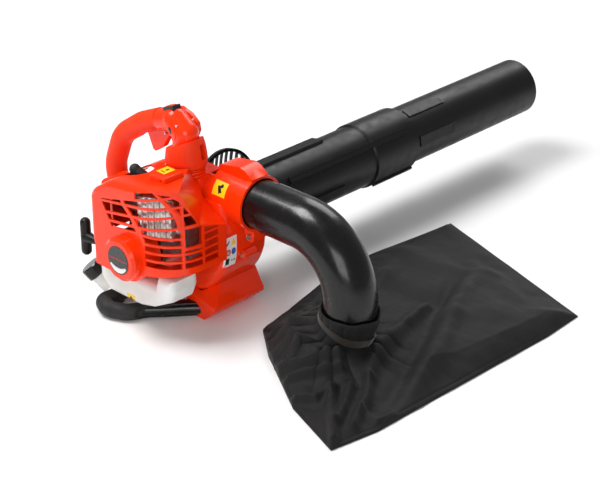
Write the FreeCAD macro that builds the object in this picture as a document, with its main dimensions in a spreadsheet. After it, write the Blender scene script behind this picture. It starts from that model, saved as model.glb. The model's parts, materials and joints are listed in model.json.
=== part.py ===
"""Hand-held petrol blower-vacuum with suction tube, elbow and collection bag.

Every sub-part is drawn in machine coordinates, in millimetres: the origin is the centre of the
starter boss on the crank axis, +X points along the outlet duct, +Y along the crank axis towards
the suction tube, and +Z up.  At the end the whole machine is set down with the bottom centre of
its box on the origin.
"""
import FreeCAD, Part
import math
import os

import Sketcher
from FreeCAD import Placement, Rotation, Vector

SIZES = {
    # shells and the crank line
    "wall": 3, "boss_radius": 39.5, "boss_depth": 62, "badge_radius": 25.5, "crank_radius": 7.5,
    # fan and its housing
    "fan_front": 150, "fan_split": 205, "fan_back": 255, "inlet_end": 272,
    "inlet_ring_radius": 64, "inlet_hole_radius": 54, "impeller_radius": 84, "blade_count": 12,
    "duct_radius": 48.5, "duct_height": 81, "duct_mouth": 137, "volute_crown": 118,
    # engine cover
    "cover_front": 20, "cover_back": 149, "cover_corner": 75, "slat_pitch": 14.6, "slat_height": 4.2,
    # engine
    "bore_radius": 17, "fin_radius": 31, "fin_count": 8, "cylinder_y": 104, "flywheel_radius": 37,
    # tubes and elbow
    "upper_tube_radius": 60, "sleeve_start": 588, "sleeve_end": 704, "sleeve_radius": 63.5,
    "lower_tube_radius": 56.8, "lower_tube_wall": 3, "lower_tube_start": 596, "lower_tube_end": 1084,
    "elbow_radius": 43.5, "elbow_wall": 2.5, "elbow_bend": 110, "elbow_turn": 126,
    # handle
    "handle_plane": 155, "handle_radius": 16.5, "grip_radius": 19.5, "collar_radius": 37,
    # ground
    "floor": -150,
}

DOC = FreeCAD.newDocument("blower_vac")
SHEET = DOC.addObject("Spreadsheet::Sheet", "Sizes")
for row, (alias, value) in enumerate(SIZES.items(), start=1):
    SHEET.set(f"A{row}", alias)
    SHEET.set(f"B{row}", str(value))
    SHEET.setAlias(f"B{row}", alias)
DOC.recompute()


class Cells:
    """The sheet's values, read by alias."""

    def __getattr__(self, alias):
        return float(SHEET.get(alias))


D = Cells()
PARTS = []
AXES = {"x": Vector(1, 0, 0), "y": Vector(0, 1, 0), "z": Vector(0, 0, 1)}
ORIGIN = Vector(0, 0, 0)


# ---------------------------------------------------------------- drawing helpers
def direction(axis):
    """A unit vector from an axis letter or a triple."""
    vector = AXES[axis] if isinstance(axis, str) else Vector(*axis)
    return Vector(vector).normalize()


def aligned(at, axis):
    """The placement that turns +Z onto an axis and moves to a point."""
    return Placement(Vector(*at), Rotation(AXES["z"], direction(axis)))


def keep(obj, label):
    """Names a sub-part and lists it for export."""
    obj.Label = label
    PARTS.append(obj)
    return obj


def sized(obj, sizes):
    """Sets properties from numbers, or binds them to the sheet from text."""
    for prop, value in sizes.items():
        if isinstance(value, str):
            obj.setExpression(prop, value)
        else:
            setattr(obj, prop, value)
    return obj


def rod(name, at, axis, radius, length):
    """A cylinder from a point along an axis."""
    obj = DOC.addObject("Part::Cylinder", name)
    obj.Placement = aligned(at, axis)
    return sized(obj, {"Radius": radius, "Height": length})


def cone(name, at, axis, radius_start, radius_end, length):
    """A cone from a point along an axis."""
    obj = DOC.addObject("Part::Cone", name)
    obj.Placement = aligned(at, axis)
    return sized(obj, {"Radius1": radius_start, "Radius2": radius_end, "Height": length})


def ball(name, at, radius):
    """A sphere about a point."""
    obj = DOC.addObject("Part::Sphere", name)
    obj.Placement = Placement(Vector(*at), Rotation())
    return sized(obj, {"Radius": radius})


def block(name, low, high):
    """A box between two corners."""
    obj = DOC.addObject("Part::Box", name)
    obj.Placement = Placement(Vector(*low), Rotation())
    sides = [b - a for a, b in zip(low, high)]
    return sized(obj, dict(zip(("Length", "Width", "Height"), sides)))


def fuse(name, pieces):
    """The union of several objects."""
    obj = DOC.addObject("Part::MultiFuse", name)
    obj.Shapes = pieces
    return obj


def cut(name, base, tools):
    """One object less several others."""
    obj = DOC.addObject("Part::Cut", name)
    obj.Base = base
    obj.Tool = tools[0] if len(tools) == 1 else fuse(name + "_tools", tools)
    return obj


def common(name, first, second):
    """What two objects share."""
    obj = DOC.addObject("Part::Common", name)
    obj.Base, obj.Tool = first, second
    return obj


def rounded(name, base, radius, wanted):
    """Fillets those edges of an object for which wanted(edge) is true."""
    DOC.recompute()
    obj = DOC.addObject("Part::Fillet", name)
    obj.Base = base
    edges = enumerate(base.Shape.Edges, start=1)
    obj.Edges = [(number, radius, radius) for number, edge in edges if wanted(edge)]
    return obj


def feature(name, shape):
    """A shape made by Part's own functions, as an object."""
    obj = DOC.addObject("Part::Feature", name)
    obj.Shape = shape
    return obj


def role_plane(body, role):
    """One of a body's own origin planes."""
    return next(item for item in body.Origin.OriginFeatures if item.Role == role)


def outline_sketch(body, name, corners, role="XY_Plane"):
    """A closed outline of straight runs; a corner's text coordinates are bound to the sheet."""
    sketch = body.newObject("Sketcher::SketchObject", name)
    sketch.AttachmentSupport = [(role_plane(body, role), "")]
    sketch.MapMode = "FlatFace"
    places = [Vector(*[float(SHEET.get(c)) if isinstance(c, str) else c for c in corner], 0)
              for corner in corners]
    for start, end in zip(places, places[1:] + places[:1]):
        sketch.addGeometry(Part.LineSegment(start, end), False)
    count = len(places)
    for index in range(count):
        sketch.addConstraint(Sketcher.Constraint("Coincident", index, 2, (index + 1) % count, 1))
    for index, corner in enumerate(corners):
        for kind, value, place in zip(("DistanceX", "DistanceY"), corner, places[index]):
            if isinstance(value, str):
                number = sketch.addConstraint(Sketcher.Constraint(kind, -1, 1, index, 1, place))
                sketch.setExpression(f"Constraints[{number}]", f"Sizes.{value}")
    return sketch


def turned(label, corners, at=(0, 0, 0), axis="y"):
    """A body of revolution: corners are (radius, distance along the axis)."""
    body = DOC.addObject("PartDesign::Body", label)
    sketch = outline_sketch(body, label + "_profile", corners)
    spin = body.newObject("PartDesign::Revolution", label + "_turn")
    spin.Profile = sketch
    spin.ReferenceAxis = (sketch, ["V_Axis"])
    spin.Angle = 360
    body.Tip = spin
    body.Placement = Placement(Vector(*at), Rotation(AXES["y"], direction(axis)))
    return body


def plate(label, corners, start, thickness, axis="y"):
    """A padded outline: corners are (x, z) for axis y, or (x, y) for axis z."""
    body = DOC.addObject("PartDesign::Body", label)
    role = "XZ_Plane" if axis == "y" else "XY_Plane"
    sketch = outline_sketch(body, label + "_outline", corners, role)
    pad = body.newObject("PartDesign::Pad", label + "_pad")
    pad.Profile = sketch
    sized(pad, {"Length": thickness})
    pad.Reversed = axis == "y"
    body.Tip = pad
    body.Placement = Placement(direction(axis) * start, Rotation())
    return body


def rounded_path(points, radii):
    """Straight runs through points, with a tangent arc of a given radius at each inner one."""
    points = [Vector(*p) for p in points]
    edges, start = [], points[0]
    for index, radius in enumerate(radii, start=1):
        corner = points[index]
        back = (points[index - 1] - corner).normalize()
        ahead = (points[index + 1] - corner).normalize()
        half = back.getAngle(ahead) / 2
        reach = radius / math.tan(half)
        middle = (back + ahead).normalize()
        centre = corner + middle * (radius / math.sin(half))
        first, last = corner + back * reach, corner + ahead * reach
        if (first - start).Length > 1e-6:
            edges.append(Part.LineSegment(start, first).toShape())
        edges.append(Part.Arc(first, centre - middle * radius, last).toShape())
        start = last
    edges.append(Part.LineSegment(start, points[-1]).toShape())
    return Part.Wire(edges)


def swept(name, path, radius, hole=0):
    """A round bar, or a tube when hole is given, along a wire."""
    start = path.Edges[0].valueAt(path.Edges[0].FirstParameter)
    along = path.Edges[0].tangentAt(path.Edges[0].FirstParameter)

    def bar(bar_radius):
        ring = Part.Wire([Part.Circle(start, along, bar_radius).toShape()])
        return path.makePipeShell([ring], True, False)

    shape = bar(radius)
    return feature(name, shape.cut(bar(hole)) if hole else shape)


# ---------------------------------------------------------------- fan housing
COLLAR_X = 8
GUARD_HINGE = (-96, 262)
GUARD_TILT = Placement(ORIGIN, Rotation(AXES["y"], -10))


def volute(inset, start, end):
    """The spiral case as a solid, each wall moved in by inset; four arcs of growing radius."""
    def arc(centre_x, centre_z, radius, first, last):
        turn = [math.radians(a) for a in (first, (first + last) / 2, last)]
        spots = [Vector(centre_x + (radius - inset) * math.cos(a), start,
                        centre_z + (radius - inset) * math.sin(a)) for a in turn]
        return Part.Arc(*spots).toShape()

    crown = D.volute_crown - inset
    front = 102 - inset
    arcs = [arc(-5, -5, 107, 0, -90), arc(-5, 5, 117, 270, 180), arc(-9, 5, 113, 180, 90)]
    corners = [Vector(-9, start, crown), Vector(76 - inset / 2, start, crown),
               Vector(front, start, 60), Vector(front, start, -5)]
    runs = [Part.LineSegment(a, b).toShape() for a, b in zip(corners, corners[1:])]
    wire = Part.Wire(Part.__sortEdges__(arcs + runs))
    return Part.Face(wire).extrude(Vector(0, end - start, 0))


def back_slope(inset):
    """What the crown loses behind the split, where it falls away towards the suction tube."""
    down = inset / math.cos(math.atan2(34, 50))
    split, crown = D.fan_split, D.volute_crown - down
    spots = [(split, crown), (split + 100, crown - 68), (split + 100, crown + 80), (split, crown + 80)]
    face = Part.Face(Part.makePolygon([Vector(-200, y, z) for y, z in spots + spots[:1]]))
    return face.extrude(Vector(400, 0, 0))


def duct_shoulder(inset):
    """What the front wall loses beside the collar, so that it rounds over as the duct does."""
    split, height = D.fan_split, D.duct_height
    box = Part.makeBox(200, 100, 100, Vector(40 - inset, split - 100, height - inset))
    return box.cut(Part.makeCylinder(D.duct_radius - inset, 300, Vector(0, split, height), Vector(1, 0, 0)))


def trimmed_case(solid, inset):
    """The spiral case less its back slope and its shoulder beside the collar."""
    return solid.cut(back_slope(inset)).cut(duct_shoulder(inset))


def soft_rim(solid, radius, level):
    """Fillets every edge of the end face at one place along Y."""
    def flat(edge):
        box = edge.BoundBox
        return abs(box.YMin - level) < 0.01 and abs(box.YMax - level) < 0.01
    return solid.makeFillet(radius, [edge for edge in solid.Edges if flat(edge)])


SCREW_ANGLES = (12, 58, 104, 150, 172, 208)


def screw_places():
    """Where the lugs of the housing screws stand on the growing spiral, as (x, z)."""
    places = []
    for angle in SCREW_ANGLES:
        turn, radius = math.radians(angle), 108 + 0.1 * angle
        places.append((-2 + radius * math.cos(turn), -radius * math.sin(turn)))
    return places


def fan_housing():
    """The spiral fan case with its outlet duct, in two halves that meet at the split."""
    outer = soft_rim(soft_rim(volute(0, D.fan_front, D.fan_back), 10, D.fan_back), 10, D.fan_front)
    inner = volute(D.wall, D.fan_front + D.wall, D.fan_back - D.wall)
    inner = soft_rim(inner, 7, D.fan_back - D.wall)
    case = feature("volute_outer", trimmed_case(outer, 0))
    hollow = feature("volute_hollow", trimmed_case(inner, D.wall))
    split, height, mouth = D.fan_split, D.duct_height, D.duct_mouth
    duct = rod("duct_outer", (56, split, height), "x", "Sizes.duct_radius", mouth - 56)
    lip = rod("duct_lip", (mouth - 9, split, height), "x", "Sizes.duct_radius + 1.6", 9)
    bore = rod("duct_bore", (42, split, height), "x", "Sizes.duct_radius - Sizes.wall", 120)
    crest = plate("duct_crest", [(56, 112), (56, 134), (62, 138), (106, 146), (120, 143), (137, 131),
                                 (137, 112)], split - 20, 38)
    neck = rod("collar_neck", (COLLAR_X, D.handle_plane, 60), "z", 34, 73)
    rings = [cut("neck_groove", rod("groove_outer", (COLLAR_X, D.handle_plane, z), "z", 38, 3),
                 [rod("groove_inner", (COLLAR_X, D.handle_plane, z - 1), "z", 31, 5)])
             for z in (115, 121, 127)]
    ear = plate("clamp_ears", [(112, 34), (119, 13), (128, 10), (135, 14), (137, 24), (137, 40)],
                split - 17, 34)
    ring = rod("inlet_ring", (0, D.fan_back - 6, 0), "y", "Sizes.inlet_ring_radius",
               D.inlet_end - D.fan_back + 6)
    lugs = [rod("screw_lug", (x, split - 14, z), "y", 8, 28) for x, z in screw_places()]
    front_trim = block("neck_trim", (-100, 50, 0), (100, D.fan_front + 0.1, 114))
    neck_cut = cut("collar_neck_made", neck, [front_trim] + rings)
    whole = fuse("housing_outside", [case, duct, lip, crest, ear, ring, neck_cut] + lugs)
    inlet = rod("inlet_hole", (0, split, 0), "y", "Sizes.inlet_hole_radius", 80)
    shaft = rod("shaft_hole", (0, D.fan_front - 5, 0), "y", 10, 20)
    gap = block("clamp_gap", (100, split - 1.5, 0), (150, split + 1.5, 42))
    clamp = rod("clamp_hole", (127, split - 30, 21), "y", 2.6, 60)
    holes = [rod("lug_hole", (x, split - 20, z), "y", 2.05, 40) for x, z in screw_places()]
    seat = rod("collar_seat", (COLLAR_X, D.handle_plane, 131), "z", 39, 60)
    shell = cut("housing_shell", whole, [hollow, bore, inlet, shaft, gap, clamp, seat] + holes)
    near = block("near_half", (-400, 0, -400), (400, split, 400))
    far = block("far_half", (-400, split, -400), (400, 400, 400))
    keep(common("housing_near", shell, near), "fan_housing_inner")
    x, y = GUARD_HINGE
    ears = [rod("hinge_ear", (x, y, low), "z", 7, 9) for low in (-39, 30)]
    roots = [block("hinge_root", (x - 6, 252.5, low), (x + 6, y, low + 9)) for low in (-39, 30)]
    hinge_bore = rod("hinge_bore", (x, y, -45), "z", 3.02, 90)
    hinge = cut("hinge_bored", fuse("hinge_ears", ears + roots), [hinge_bore])
    hinge.Placement = GUARD_TILT
    keep(fuse("far_finished", [common("housing_far", shell, far), hinge]), "fan_housing_outer")


def housing_screws():
    """The screws that hold the two halves together, one group of separate solids."""
    screws = []
    for x, z in screw_places():
        shank = rod("screw_shank", (x, D.fan_split - 15, z), "y", 2, 27)
        head = rod("screw_head", (x, D.fan_split - 17.5, z), "y", 4, 3.4)
        screws.append(fuse("housing_screw", [shank, head]))
    keep(DOC.addObject("Part::Compound", "screw_group"), "housing_screws").Links = screws


def clamp_screw():
    """The screw that draws the duct's two ears onto the elbow."""
    shank = rod("clamp_shank", (127, D.fan_split - 20, 21), "y", 2.5, 40)
    head = rod("clamp_head", (127, D.fan_split - 22, 21), "y", 5, 4.8)
    slot = block("clamp_slot", (121, D.fan_split - 23, 20.2), (133, D.fan_split - 20.6, 21.8))
    keep(cut("clamp_screw_made", fuse("clamp_blank", [shank, head]), [slot]), "clamp_screw")


def impeller():
    """Backward-leaning blades on a disc, with a hub keyed to the crank."""
    disc = turned("impeller_disc", [(6.02, 160), (14, 160), (14, 168), ("impeller_radius", 168),
                                    ("impeller_radius", 171), (20, 171), (14, 196), (6.02, 196)])
    blades = []
    for number in range(int(D.blade_count)):
        blade = block("blade", (0, 170.5, -1.2), (D.impeller_radius - 19, 205, 1.2))
        lean = Placement(Vector(17, 0, 0), Rotation(AXES["y"], -22))
        around = Placement(ORIGIN, Rotation(AXES["y"], number * 360 / D.blade_count))
        blade.Placement = around * lean * blade.Placement
        blades.append(blade)
    rim = rod("blade_limit", (0, 150, 0), "y", "Sizes.impeller_radius", 80)
    keep(common("impeller_made", fuse("impeller_raw", [disc] + blades), rim), "impeller")
    nut = turned("impeller_nut", [(5.0, 196.05), (10, 196.05), (10, 199), (8, 199), (8, 209), (5.0, 209)])
    keep(nut, "impeller_nut")


# ---------------------------------------------------------------- engine
def crank_train():
    """Crankshaft, its bearings, and the flywheel with fins."""
    shaft = turned("crankshaft_main", [
        (0, 64), (6, 64), (6, 68), ("crank_radius", 68), ("crank_radius", 98), (0, 98)])
    far_shaft = turned("crankshaft_fan", [
        (0, 112), ("crank_radius", 112), ("crank_radius", 146), (6, 150), (6, 196), (4.98, 196),
        (4.98, 212), (0, 212)])
    webs = [rod("crank_web", (0, y, -4.5), "y", 24.3, 5) for y in (97, 108)]
    crankpin = rod("crankpin", (0, 96, 14), "y", 5, 18)
    keep(fuse("crankshaft_made", [shaft, far_shaft, crankpin] + webs), "crankshaft")
    for name, y in (("bearing_near", 86), ("bearing_far", 116)):
        keep(turned(name, [(7.56, y), (15, y), (15, y + 8), (7.56, y + 8)]), name)
    wheel = turned("flywheel_disc", [
        (7.5, 69), ("flywheel_radius", 69), ("flywheel_radius", 80), (30, 80), (30, 74), (12, 74),
        (12, 80), (7.5, 80)])
    keep(wheel, "flywheel")


def crankcase():
    """The case around the cranks, with the cylinder's seat on top."""
    drum = rod("case_drum", (0, 84, 0), "y", 33, 42)
    seat = block("case_seat", (-22, 86, 20), (22, 122, 36))
    flange = block("case_flange", (-40, 126, -32), (40, 149.8, 32))
    hollow = rod("case_hollow", (0, 94, 0), "y", 29.5, 22)
    neck = rod("case_neck", (0, D.cylinder_y, 0), "z", 17.5, 60)
    bearing = rod("case_bearing_near", (0, 86, 0), "y", 15.05, 8.5)
    bearing_far = rod("case_bearing_far", (0, 115.5, 0), "y", 15.05, 8.5)
    shaft = rod("case_shaft", (0, 60, 0), "y", 10, 120)
    relief = block("case_relief", (-30, 130, -22), (30, 155, 22))
    keep(cut("crankcase_made", fuse("case_blank", [drum, seat, flange]),
             [hollow, neck, bearing, bearing_far, shaft, relief]), "crankcase")


def cylinder_parts():
    """Finned cylinder, piston, its pin, the connecting rod, and the spark plug with its boot."""
    y = D.cylinder_y
    wall = rod("cylinder_wall", (0, y, 36.2), "z", 22, 76)
    fins = [rod("fin", (0, y, 46 + 8.4 * n), "z", "Sizes.fin_radius", 2.4) for n in range(int(D.fin_count))]
    port = block("exhaust_port", (2, y - 34, 68), (30, y - 10, 92))
    intake = block("intake_port", (-35, y - 12, 50), (-10, y + 12, 72))
    bore = rod("cylinder_bore", (0, y, 30), "z", "Sizes.bore_radius", 72)
    passage = rod("exhaust_passage", (16, y - 40, 80), "y", 7, 40)
    inlet = rod("intake_passage", (-40, y, 61), "x", 7, 30)
    lean = Vector(-0.78, -0.35, 0.52).normalize()
    seat = Vector(-10, y - 6, 106)
    plug_hole = rod("plug_hole", tuple(seat - lean * 8), tuple(lean), 5.05, 40)
    spot_face = rod("plug_spot_face", tuple(seat + lean * 8.9), tuple(lean), 9.6, 40)
    blank = fuse("cylinder_blank", [wall, port, intake] + fins)
    keep(cut("cylinder_made", blank, [bore, passage, inlet, plug_hole, spot_face]), "cylinder")
    crown = turned("piston_crown", [(0, 78), (16.9, 78), (16.9, 52), (14, 52), (14, 74), (0, 74)],
                   (0, y, 0), "z")
    pin_hole = rod("piston_pin_hole", (-20, y, 60), "x", 4.0, 40)
    keep(cut("piston_made", crown, [pin_hole]), "piston")
    keep(rod("piston_pin", (-15.5, y, 60), "x", 4, 31), "piston_pin")
    small_end = rod("small_end", (-5, y, 60), "x", 7.5, 10)
    big_end = rod("big_end", (0, y - 1.5, 29.5), "y", 9.5, 5)
    beam = block("rod_beam", (-3, y - 1.5, 36), (3, y + 3.5, 55))
    small_hole = rod("small_end_hole", (-15, y, 60), "x", 4.02, 30)
    big_hole = rod("big_end_hole", (0, y - 13, 29.5), "y", 5.06, 26)
    keep(cut("rod_made", fuse("rod_blank", [small_end, big_end, beam]), [small_hole, big_hole]),
         "connecting_rod")
    tip = seat + lean * 9
    plug = fuse("plug_blank", [rod("plug_thread", tuple(seat - lean * 6), tuple(lean), 5, 15),
                               rod("plug_hex", tuple(tip), tuple(lean), 8, 7),
                               rod("plug_stem", tuple(tip), tuple(lean), 4, 30)])
    keep(plug, "spark_plug")
    sleeve = rod("boot_sleeve", tuple(tip + lean * 7.2), tuple(lean), 9, 27)
    dome = ball("boot_dome", tuple(tip + lean * 34), 9.8)
    elbow = rod("boot_tail", tuple(tip + lean * 30), (0.9, 0.3, -0.4), 4.5, 22)
    socket = rod("boot_socket", tuple(tip + lean * 7), tuple(lean), 4.05, 24)
    keep(cut("boot_made", fuse("boot_blank", [sleeve, dome, elbow]), [socket]), "spark_plug_boot")


def ignition_and_exhaust():
    """Ignition coil beside the flywheel; muffler, ribbed heat shield and outlet pipe, turned as one."""
    coil = fuse("coil_blank", [block("coil_body", (-62, 68, -14), (-44, 82, 14)),
                               block("coil_leg_low", (-46, 70, -14), (-38.5, 80, -8)),
                               block("coil_leg_high", (-46, 70, 8), (-38.5, 80, 14))])
    keep(coil, "ignition_coil")
    case = rounded("muffler_case", block("muffler_block", (8, 34, 46), (72, 69, 122)), 8,
                   lambda edge: True)
    hollow = rounded("muffler_hollow", block("muffler_room", (10, 36, 48), (70, 67, 120)), 6,
                     lambda edge: True)
    outlet = rod("muffler_outlet_hole", (60, 52, 56), "x", 6.1, 20)
    shell = cut("muffler_shell", case, [hollow, outlet])
    stub = rod("muffler_stub", (16, 61.5, 80), "y", 7, 8.3)
    pipe = cut("outlet_made", rod("outlet_tube", (66, 52, 56), "x", 6, 18),
               [rod("outlet_bore", (60, 52, 56), "x", 4.5, 40)])
    plate_back = block("shield_plate", (9, 31.5, 44), (71, 33.6, 120))
    ribs = [rod("shield_rib", (15 + 10.5 * n, 31.5, 46), "z", 3.4, 72) for n in range(6)]
    shield = fuse("shield_made", [plate_back] + [common("rib_front", rib, block(
        "rib_room", (0, 26, 40), (80, 32.5, 130))) for rib in ribs])
    corner = Vector(16, 69, 0)
    turn = Placement(corner - Vector(0, 5.5, 0), Rotation(AXES["z"], 25)) * Placement(-corner, Rotation())
    for piece in (shell, pipe, shield):
        piece.Placement = turn
    keep(fuse("muffler_made", [shell, stub]), "muffler")
    keep(pipe, "exhaust_outlet")
    keep(shield, "muffler_heat_shield")


def intake_parts():
    """Insulator, carburettor with primer and choke, and the air filter with its cover."""
    y = D.cylinder_y
    keep(cut("insulator_made", block("insulator_block", (-47, y - 12, 51), (-35.2, y + 12, 71)),
             [rod("insulator_bore", (-50, y, 61), "x", 7, 20)]), "intake_insulator")
    carb = block("carb_body", (-78, y - 15, 44), (-47.2, y + 15, 76))
    keep(cut("carb_made", carb, [rod("carb_bore", (-80, y, 61), "x", 7, 40),
                                 rod("choke_bore", (-72, y - 10, 40), "z", 2.05, 40),
                                 rod("primer_bore", (-62, y + 7, 43), "z", 6.6, 9)]), "carburettor")
    keep(fuse("choke_made", [rod("choke_shaft", (-72, y - 10, 46), "z", 2, 34),
                             block("choke_tab", (-74, y - 32, 78.5), (-70, y - 8, 81.5))]), "choke_lever")
    bulb = fuse("primer_blank", [rod("primer_neck", (-62, y + 7, 37), "z", 6, 9),
                                 ball("primer_dome", (-62, y + 7, 36), 7.5)])
    keep(bulb, "primer_bulb")
    keep(cut("filter_made", block("filter_block", (-92, y - 22, 40), (-79, y + 20, 84)),
             [rod("filter_bore", (-95, y, 61), "x", 9, 30)]), "air_filter_element")
    cover = rounded("filter_cover_round", block("filter_cover_block", (-126, y - 34, 4), (-93, y + 26, 88)),
                    9, lambda edge: edge.BoundBox.XMax < -125.9 or edge.BoundBox.XLength > 20)
    pocket = block("filter_cover_pocket", (-123, y - 31, 7), (-90, y + 23, 85))
    keep(cut("filter_cover_made", cover, [pocket]), "air_filter_cover")


# ---------------------------------------------------------------- engine cover and starter
def cover_front_outline(inset):
    """The cover seen from the starter side, as a face at y = 0, moved in by inset."""
    low = [math.radians(angle) for angle in (-29, -62, -95)]
    arc = Part.Arc(*[Vector(45 * math.cos(a), 0, 45 * math.sin(a)) for a in low])
    crown = [(110, 0, 142), (55, 0, 142), (-45, 0, 127), (-97, 0, 92), (-97, 0, 30)]
    right = [(110, 142), (110, -14), (45 * math.cos(low[0]), 45 * math.sin(low[0]))]
    left = [(45 * math.cos(low[2]), 45 * math.sin(low[2])), (-84, -42), (-84, -8), (-97, 30)]
    edges = [arc.toShape()] + rounded_path(crown, [80, 60, 34]).Edges
    for run in (right, left):
        spots = [Vector(x, 0, z) for x, z in run]
        edges += [Part.LineSegment(a, b).toShape() for a, b in zip(spots, spots[1:])]
    face = Part.Face(Part.Wire(Part.__sortEdges__(edges)))
    return face.makeOffset2D(-inset) if inset else face


def cover_plan(inset):
    """The cover seen from above, with its big rounded corner at the outlet side."""
    right, front, radius, small = 110 - inset, D.cover_front + inset, D.cover_corner - inset, 16 - inset
    back, left, lean = 200, -97 + inset, math.sqrt(0.5)
    near = Part.Arc(Vector(right, front + radius, -100),
                    Vector(right - radius * (1 - lean), front + radius * (1 - lean), -100),
                    Vector(right - radius, front, -100))
    far = Part.Arc(Vector(left + small, front, -100),
                   Vector(left + small * (1 - lean), front + small * (1 - lean), -100),
                   Vector(left, front + small, -100))
    spots = [Vector(left, front + small, -100), Vector(left, back, -100), Vector(right, back, -100),
             Vector(right, front + radius, -100)]
    edges = [near.toShape(), far.toShape(),
             Part.LineSegment(Vector(right - radius, front, -100),
                              Vector(left + small, front, -100)).toShape()]
    edges += [Part.LineSegment(a, b).toShape() for a, b in zip(spots, spots[1:])]
    face = Part.Face(Part.Wire(Part.__sortEdges__(edges)))
    return face.extrude(Vector(0, 0, 400))


def cover_solid(inset, rim):
    """The cover's outer form, or its hollow when inset is the wall."""
    start = D.cover_front + inset
    form = cover_front_outline(inset).extrude(Vector(0, D.cover_back + inset - start, 0))
    form.translate(Vector(0, start, 0))
    top = [edge for edge in form.Edges if abs(edge.BoundBox.YMax - start) < 0.01
           and edge.BoundBox.ZMin > 30 and edge.BoundBox.XLength > 8]
    return form.makeFillet(rim, top).common(cover_plan(inset)).cut(cover_scoop(inset))


def half_space(normal, distance):
    """A big box that starts at a plane and lies beyond it."""
    box = Part.makeBox(600, 600, 400, Vector(-300, -300, 0))
    normal = Vector(*normal).normalize()
    box.Placement = Placement(normal * distance, Rotation(AXES["z"], normal))
    return box


def cover_scoop(inset):
    """What the cover loses at its upper outlet corner, where it dips to clear the duct."""
    steep = half_space((0.720, 0.571, 0.396), 158 - inset)
    return steep.common(half_space((0.480, 0.291, 0.828), 140 - inset))


# Centre lines of the slats as heights at x = -50 and x = 100; the upper ones fan out with the crown.
SLATS = [(94.8, 133.5), (88.3, 113.3), (67.4, 96.5), (53, 74.1)]


def slot_between(lower, upper, first=-80, last=130):
    """The slot between two slat centre lines, from the front of the cover to its side."""
    half = D.slat_height / 2

    def level(line, x):
        return line[0] + (line[1] - line[0]) * (x + 50) / 150
    return plate("slot", [(first, level(lower, first) + half), (last, level(lower, last) + half),
                          (last, level(upper, last) - half), (first, level(upper, first) - half)], 10, 121)


def side_window(corners):
    """A window in the side wall, from its outline seen along X as (y, z)."""
    outline = Part.makePolygon([Vector(70, y, z) for y, z in corners + corners[:1]])
    return feature("side_window", Part.Face(outline).extrude(Vector(60, 0, 0)))


def grille_tool():
    """What the grille removes: the slots between the slats, where they lie inside the windows."""
    level = [(z, z) for z in (54 - D.slat_pitch * n for n in range(5))]
    upper = [slot_between(low, high) for high, low in zip(SLATS, SLATS[1:])]
    lower = [slot_between(low, high, 40) for high, low in zip([SLATS[-1]] + level, level)]
    slots = [slot_between(SLATS[0], (122, 146), 26, 92), slot_between((40, 66), SLATS[-1], -80, 32)]
    windows = [plate("front_window", [(-66, 94), (-36, 42), (29, 52), (12, 77), (-5, 92), (-21, 117),
                                      (-30, 115)], 10, 47),
               plate("front_window", [(-14, 121), (1, 97), (19, 81), (38, 59), (46, 44), (46, -3), (130, -3),
                                      (130, 100), (100, 121), (89, 134), (64, 138), (23, 128)], 10, 47),
               side_window([(60.5, 77), (60.5, 114), (74, 94), (84, 79), (84, 77)]),
               side_window([(61, -3), (61, 31), (95, 31), (95, -3)]),
               side_window([(99, -3), (99, 66), (131, 58), (131, -3)])]
    ribs = [plate("cross_rib", [(62.5, 140), (73, 129), (83, 115), (91, 100), (95, 84), (96, 70), (101, 70),
                                (100, 85), (96, 102), (88, 117), (78, 131), (68, 140)], 10, 66)]
    slots = common("slots_in_windows", fuse("slots_all", slots + upper + lower), fuse("windows", windows))
    return cut("grille_slots", slots, ribs)


def engine_cover():
    """The big moulded cover over the engine, with its wrap-around grille."""
    outer = feature("cover_outer", cover_solid(0, 13))
    hollow = feature("cover_hollow", cover_solid(D.wall, 10))
    step = rounded("cover_step", block("cover_step_block", (22, 57, 118), (60, 101, 151)), 3,
                   lambda edge: edge.BoundBox.ZMin > 150 or edge.BoundBox.YMax < 58)
    tools = [hollow, grille_tool(),
             rod("boss_opening", (0, 10, 0), "y", "Sizes.boss_radius + 0.3", 60),
             block("exhaust_window", (90, 62, 37), (120, 94, 71)),
             rod("plug_opening", (-41, 86, 70), "z", 29, 100),
             rod("collar_notch", (COLLAR_X, D.handle_plane, 113), "z", 38, 80),
             rod("guide_opening", (-110, 53, -26.2), "x", 6.1, 60),
             block("filter_opening", (-130, 66, -2), (-74, 160, 92)),
             block("floor_opening", (-78, 66, -60), (60, 160, -10)),
             rod("step_screw_hole", (51, 50, 145), "y", 2.6, 14)]
    keep(cut("cover_made", fuse("cover_blank", [outer, step]), tools), "engine_cover")


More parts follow.
